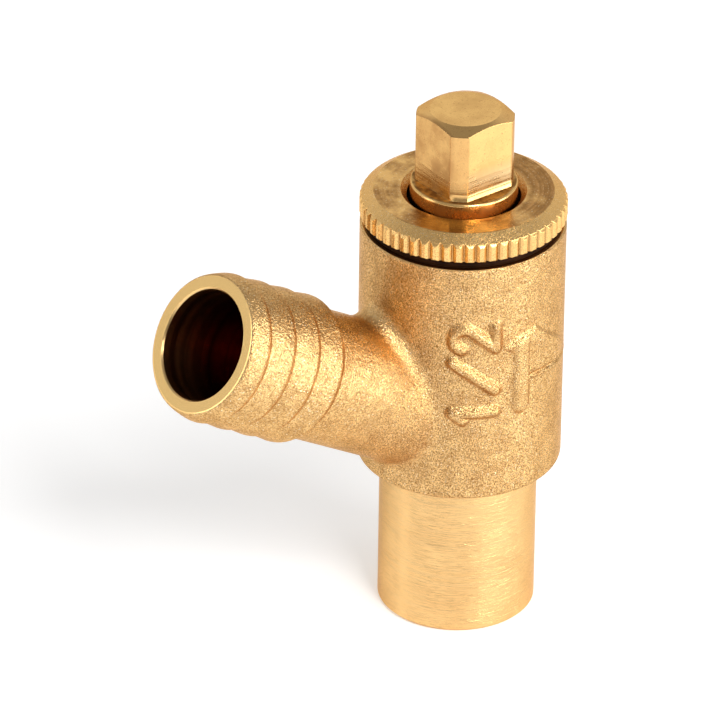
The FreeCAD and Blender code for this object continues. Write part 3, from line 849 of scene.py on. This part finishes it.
def relief_piece(name, rise_at, low, high, plan_angle, foot_z):
    """Raised mark on the barrel, from its height in a box up (first value) and to the left."""
    marks = bpy.context.scene.drain_cock_marks
    step = marks.mesh_step
    deepest = mark_rise(marks.shoulder / 2 + 1.5 * step, marks.relief, marks.shoulder)
    rows, columns = (round((top - bottom) / step) + 1 for bottom, top in zip(low, high))
    mesh = bmesh.new()
    grid = {}
    for i in range(rows):
        for j in range(columns):
            up, left = low[0] + i * step, low[1] + j * step
            rise = rise_at((up, left))
            if rise < deepest:
                continue
            angle = plan_angle - left / BARREL_RADIUS
            radius = BARREL_RADIUS + rise
            grid[i, j] = mesh.verts.new(
                (radius * math.cos(angle), radius * math.sin(angle), foot_z + up))
    for i, j in list(grid):
        ring = [(i, j), (i, j + 1), (i + 1, j + 1), (i + 1, j)]
        if all(corner in grid for corner in ring):
            mesh.faces.new([grid[corner] for corner in reversed(ring)])
    loose = [v for v in mesh.verts if not v.link_faces]
    bmesh.ops.delete(mesh, geom=loose, context="VERTS")
    bmesh.ops.recalc_face_normals(mesh, faces=mesh.faces)
    data = bpy.data.meshes.new(name)
    mesh.to_mesh(data)
    mesh.free()
    for polygon in data.polygons:
        polygon.use_smooth = True
    piece = add_object(name, data)
    piece.modifiers.new("Root", "SOLIDIFY").thickness = MARK_ROOT
    data.materials.append(cast_brass())
    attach(piece, "valve_body")


def numeral_segments(height, pitch):
    """Straight pieces of the fraction 1/2, from the middle of its foot."""
    loop = TWO_LOOP * height
    middle, top, foot = TWO_PLACE * pitch, 0.5 * height, -0.5 * height
    strokes = [[(along * pitch, up * height) for along, up in points] for points in (ONE, BAR)]
    strokes.append(arc((middle, top - loop), loop, 165, -40)
                   + [(middle - loop, foot), (middle + TWO_FOOT * loop, foot)])
    return [pair for stroke in strokes for pair in zip(stroke, stroke[1:])]


def arrow_shaft(width):
    """Outline of the arrow's shaft from the middle of its foot. Its top slopes as the head does."""
    half = width / 2
    foot = arc((half, 0.0), half, 90, 270, 8)
    return foot + [(SHAFT_RIGHT_LENGTH, -half), (SHAFT_LEFT_LENGTH, half)]


def arrow_rise(point, shaft, marks):
    """Height of the flow arrow. Its head and the line below it fade towards the barrel's side."""
    beyond = (-point[1] - ARROW_FADE_START) / (ARROW_FADE_END - ARROW_FADE_START)
    stand = marks.head_relief * (1 - ARROW_FADE * min(max(beyond, 0.0), 1.0))
    shoulder = HEAD_SHOULDER * marks.shoulder
    from_line = segment_distance(point, *ARROW_LINE) - ARROW_LINE_HALF_WIDTH
    return max(
        mark_rise(outline_distance(point, ARROW_HEAD), stand, shoulder),
        mark_rise(from_line, LINE_RELIEF * stand, shoulder),
        mark_rise(outline_distance(point, shaft), marks.relief, marks.shoulder))


class DRAINCOCK_OT_body(bpy.types.Operator):
    """Blasted casting with a turned spigot and mouth"""
    bl_idname = "draincock.body"
    bl_label = "Body"

    def execute(self, context):
        dress("body", cast_brass())
        return {"FINISHED"}


class DRAINCOCK_OT_marks(bpy.types.Operator):
    """Raised size number and flow arrow on the barrel"""
    bl_idname = "draincock.marks"
    bl_label = "Cast marks"

    def execute(self, context):
        marks = context.scene.drain_cock_marks
        segments = numeral_segments(marks.numeral_height, marks.numeral_pitch)
        margin = marks.stroke / 2 + marks.shoulder
        length = marks.numeral_pitch * NUMBER_HALF_LENGTH + margin
        height = marks.numeral_height / 2 + margin
        relief_piece(
            "size_number",
            lambda p: mark_rise(min(segment_distance(p, *s) for s in segments) - marks.stroke / 2,
                                marks.relief, marks.shoulder),
            (-length, -height), (length, height), marks.number_angle, marks.number_z)
        shaft = arrow_shaft(marks.shaft_width)
        ups, lefts = zip(*shaft, *ARROW_HEAD, *ARROW_LINE)
        relief_piece(
            "flow_arrow", lambda p: arrow_rise(p, shaft, marks),
            (min(ups) - marks.shoulder, min(lefts) - marks.shoulder),
            (max(ups) + marks.shoulder, max(lefts) + marks.shoulder),
            marks.arrow_angle, marks.arrow_foot_z)
        return {"FINISHED"}


class DRAINCOCK_OT_gland(bpy.types.Operator):
    """Knurled gland nut with its seals"""
    bl_idname = "draincock.gland"
    bl_label = "Gland nut and seals"

    def execute(self, context):
        dress("gland_nut", gland_brass())
        dress("gland_seal", rubber())
        dress("stem_seal", rubber())
        return {"FINISHED"}


class DRAINCOCK_OT_spindle(bpy.types.Operator):
    """Square-headed spindle"""
    bl_idname = "draincock.spindle"
    bl_label = "Spindle"

    def execute(self, context):
        dress("spindle", spindle_brass())
        return {"FINISHED"}


class DRAINCOCK_OT_washer(bpy.types.Operator):
    """Jumper, washer and nut inside the body"""
    bl_idname = "draincock.washer"
    bl_label = "Washer and jumper"

    def execute(self, context):
        dress("jumper", inner_brass())
        dress("washer_nut", inner_brass())
        dress("seat_washer", rubber())
        return {"FINISHED"}


def direction(azimuth, elevation):
    """Unit vector away from the object. Azimuth 0 is towards -Y."""
    flat = math.cos(elevation)
    return Vector((math.sin(azimuth) * flat, -math.cos(azimuth) * flat, math.sin(elevation)))


def facing(toward, roll=0.0):
    """Turn of a camera or lamp that looks back from where it stands."""
    return toward.to_track_quat("Z", "Y").to_matrix() @ Matrix.Rotation(roll, 3, "Z")


def add_camera(stage):
    """Camera at the photograph's angle, aimed so that its target falls on the target pixel."""
    data = bpy.data.cameras.new("Camera")
    data.lens = stage.lens
    data.sensor_width = SENSOR_WIDTH
    camera = add_object("Camera", data)
    toward = direction(stage.azimuth, stage.elevation)
    target = Vector((0, 0, stage.target_height))
    right, up, _ = facing(toward, stage.roll).col
    pixel = stage.distance * SENSOR_WIDTH / (stage.lens * PICTURE_SIZE)
    across = (stage.target_pixel[0] - PICTURE_SIZE / 2) * pixel
    above = (PICTURE_SIZE / 2 - stage.target_pixel[1]) * pixel
    aim = target - right * across - up * above
    stand = target + toward * stage.distance
    turn = facing(stand - aim, stage.roll)
    camera.matrix_world = Matrix.Translation(stand) @ turn.to_4x4()
    bpy.context.scene.camera = camera


def add_lamp(name, azimuth, elevation, distance, width, height, power):
    """Rectangular soft lamp that faces the object."""
    data = bpy.data.lights.new(name, "AREA")
    data.shape = "RECTANGLE"
    data.size, data.size_y = width, height
    data.energy = power
    toward = direction(math.radians(azimuth), math.radians(elevation))
    stand = Matrix.Translation(LAMP_TARGET + toward * distance)
    add_object(name, data).matrix_world = stand @ facing(toward).to_4x4()


def seen_directly(tree):
    """1 for rays from the camera and from mirrors and glass."""
    path = tree.nodes.new("ShaderNodeLightPath").outputs
    return greatest(
        tree, path["Is Camera Ray"], path["Is Glossy Ray"], path["Is Transmission Ray"])


def add_floor(stage):
    """Plain white floor that keeps the object's shadow."""
    size = FLOOR_REACH
    data = bpy.data.meshes.new("floor")
    data.from_pydata(
        [(-size, -size, 0), (size, -size, 0), (size, size, 0), (-size, size, 0)], [],
        [(0, 1, 2, 3)])
    floor = add_object("floor", data)
    material, tree, shader = new_material("Floor", metallic=0.0)
    shader["Base Color"].default_value = FLOOR_COLOUR
    shader["Roughness"].default_value = 1.0
    shader["Specular IOR Level"].default_value = 0.0
    glow = add(tree, "ShaderNodeEmission",
               Strength=times(tree, seen_directly(tree), stage.floor_glow))
    both = tree.nodes.new("ShaderNodeAddShader")
    tree.links.new(tree.nodes["Principled BSDF"].outputs[0], both.inputs[0])
    tree.links.new(glow.outputs[0], both.inputs[1])
    tree.links.new(both.outputs[0], tree.nodes["Material Output"].inputs["Surface"])
    data.materials.append(material)


def add_world():
    """White room, lighter to the right and at the back, that darkens towards the ceiling."""
    world = bpy.data.worlds.new("Studio")
    bpy.context.scene.world = world
    world.use_nodes = True
    tree = world.node_tree
    generated = tree.nodes.new("ShaderNodeTexCoord").outputs["Generated"]
    x, y, height = add(tree, "ShaderNodeSeparateXYZ", Vector=generated).outputs
    slope = calc(tree, "ADD", times(tree, x, RIGHT_LIGHT), times(tree, y, BACK_LIGHT))
    walls = calc(tree, "ADD", WALL_LIGHT, slope)
    ceiling = ramp(tree, height, CEILING_START, CEILING_FULL, smooth=True)
    sky = tree.nodes["Background"].inputs
    sky["Color"].default_value = (1, 1, 1, 1)
    feed(tree, mix_value(tree, ceiling, walls, CEILING_LIGHT), sky["Strength"])


class DRAINCOCK_OT_stage(bpy.types.Operator):
    """Floor, lamps and camera"""
    bl_idname = "draincock.stage"
    bl_label = "Stage"

    def execute(self, context):
        stage = context.scene.drain_cock_stage
        context.scene.view_settings.view_transform = "Standard"
        add_world()
        add_floor(stage)
        powers = (stage.key_power, stage.right_power, stage.low_power, stage.left_power)
        for lamp, power in zip(LAMPS, powers):
            add_lamp(*lamp, power)
        add_camera(stage)
        return {"FINISHED"}


class DRAINCOCK_PT_pieces(bpy.types.Panel):
    """Pieces of the drain cock"""
    bl_idname = "DRAINCOCK_PT_pieces"
    bl_label = "Drain Cock"
    bl_space_type = "VIEW_3D"
    bl_region_type = "UI"
    bl_category = "Drain Cock"

    def draw(self, context):
        for operator in OPERATORS:
            self.layout.operator(operator.bl_idname)


OPERATORS = (
    DRAINCOCK_OT_body,
    DRAINCOCK_OT_marks,
    DRAINCOCK_OT_gland,
    DRAINCOCK_OT_spindle,
    DRAINCOCK_OT_washer,
    DRAINCOCK_OT_stage,
)
CLASSES = (DrainCockFinish, DrainCockMarks, DrainCockStage, *OPERATORS, DRAINCOCK_PT_pieces)


def register():
    """Adds the classes and the scene's settings."""
    for cls in CLASSES:
        bpy.utils.register_class(cls)
    bpy.types.Scene.drain_cock_finish = PointerProperty(type=DrainCockFinish)
    bpy.types.Scene.drain_cock_marks = PointerProperty(type=DrainCockMarks)
    bpy.types.Scene.drain_cock_stage = PointerProperty(type=DrainCockStage)


def unregister():
    """Takes the settings and the classes away again."""
    del bpy.types.Scene.drain_cock_stage
    del bpy.types.Scene.drain_cock_marks
    del bpy.types.Scene.drain_cock_finish
    for cls in reversed(CLASSES):
        bpy.utils.unregister_class(cls)


def main():
    """Dresses the CAD pieces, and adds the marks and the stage."""
    register()
    bpy.ops.draincock.body()
    bpy.ops.draincock.marks()
    bpy.ops.draincock.gland()
    bpy.ops.draincock.spindle()
    bpy.ops.draincock.washer()
    bpy.ops.draincock.stage()


if __name__ == "__main__":
    main()
